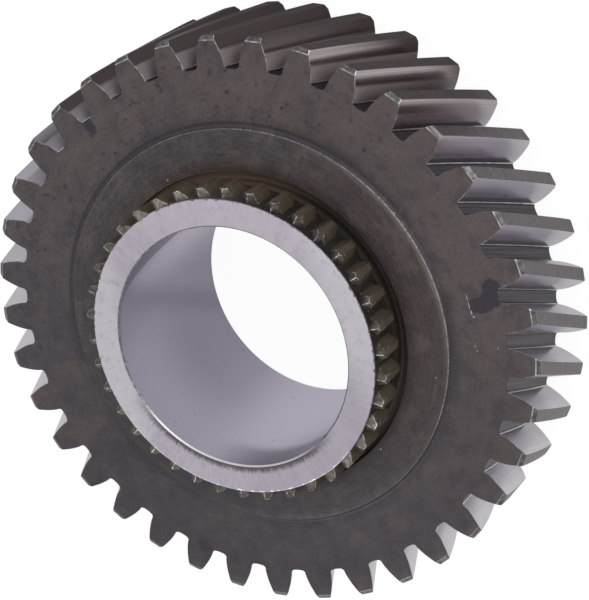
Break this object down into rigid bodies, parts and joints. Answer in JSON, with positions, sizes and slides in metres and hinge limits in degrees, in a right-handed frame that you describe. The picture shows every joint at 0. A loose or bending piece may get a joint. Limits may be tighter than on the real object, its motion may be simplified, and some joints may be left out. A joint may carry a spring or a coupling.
{
  "type": "helical gear",
  "caption": "Helical gear with a wide plain bore, a raised hub nose, straight pointed clutch teeth round the nose and a relief groove in the web.",
  "frame": {"origin": "centre of the bore in the plane of the thrust boss at the back, the face the gear rests on", "axes": "+Z along the bore axis, from the thrust boss towards the hub's nose; +X through the middle of one rim tooth at the rim's front face; +Y completes the right-handed frame"},
  "size_m": [0.1676, 0.1676, 0.057],
  "materials": {
    "gear_steel": "hardened steel, dark oiled oxide on the turned faces, bright ground bore, nose face and tooth flanks"
  },
  "bodies": {
    "root": {"helical_gear": "gear_steel"}
  },
  "joints": []
}
